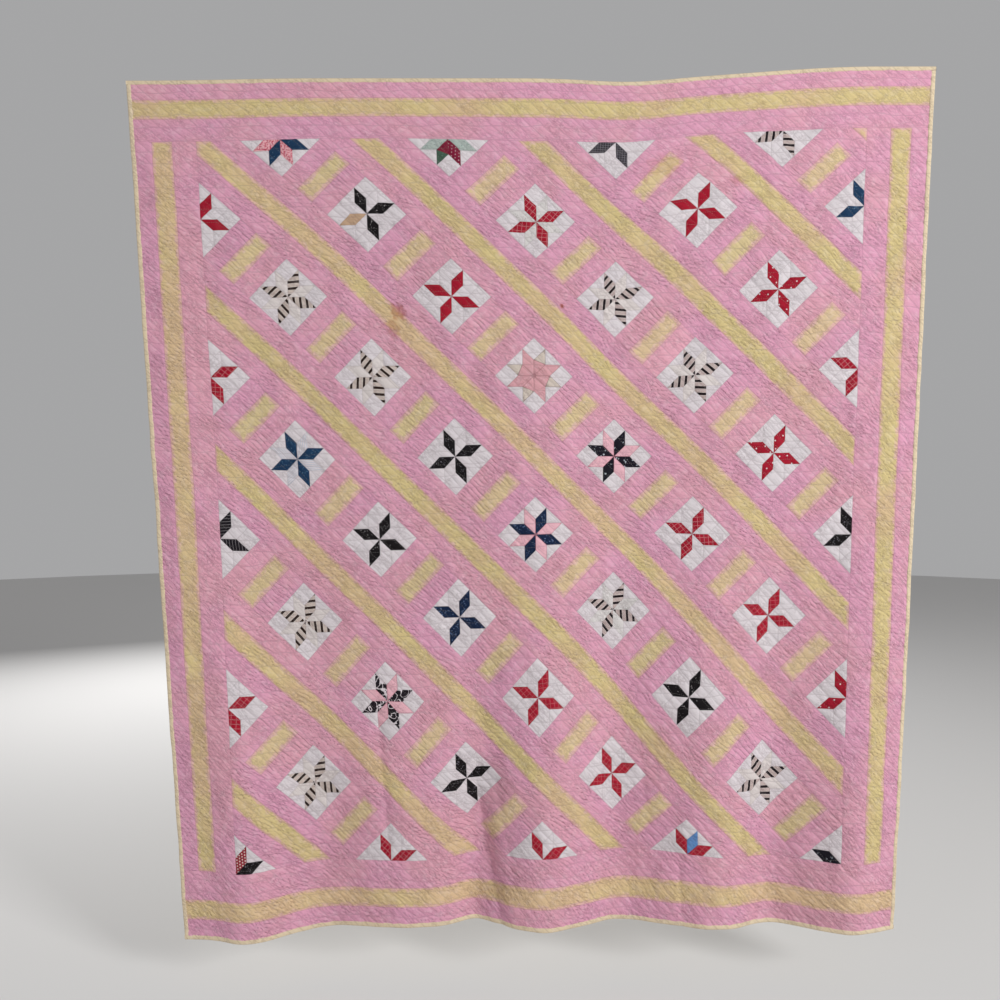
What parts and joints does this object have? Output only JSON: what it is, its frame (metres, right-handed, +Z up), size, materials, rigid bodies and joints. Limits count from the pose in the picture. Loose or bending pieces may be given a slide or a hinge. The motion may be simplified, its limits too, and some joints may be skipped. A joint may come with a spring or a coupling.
{
  "type": "patchwork quilt",
  "caption": "Hanging patchwork quilt: on-point star blocks in slanting rows, striped sashes and borders, narrow binding and soft folds at the hem.",
  "frame": {"origin": "middle of the top edge of the hanging quilt, on the outer fold of the binding", "axes": "+Z up, opposite to the way the cloth hangs; the pieced front faces -Y; +X to the right as seen from the front"},
  "size_m": [2.0654, 0.0937, 2.2194],
  "materials": {
    "quilted_cotton": "matte washed cotton, pieced from pink, yellow, white and small printed scraps",
    "binding_cotton": "matte washed cotton, pale yellow"
  },
  "bodies": {
    "root": {"quilt_body": "quilted_cotton", "binding_top": "binding_cotton", "binding_bottom": "binding_cotton", "binding_left": "binding_cotton", "binding_right": "binding_cotton"}
  },
  "joints": []
}
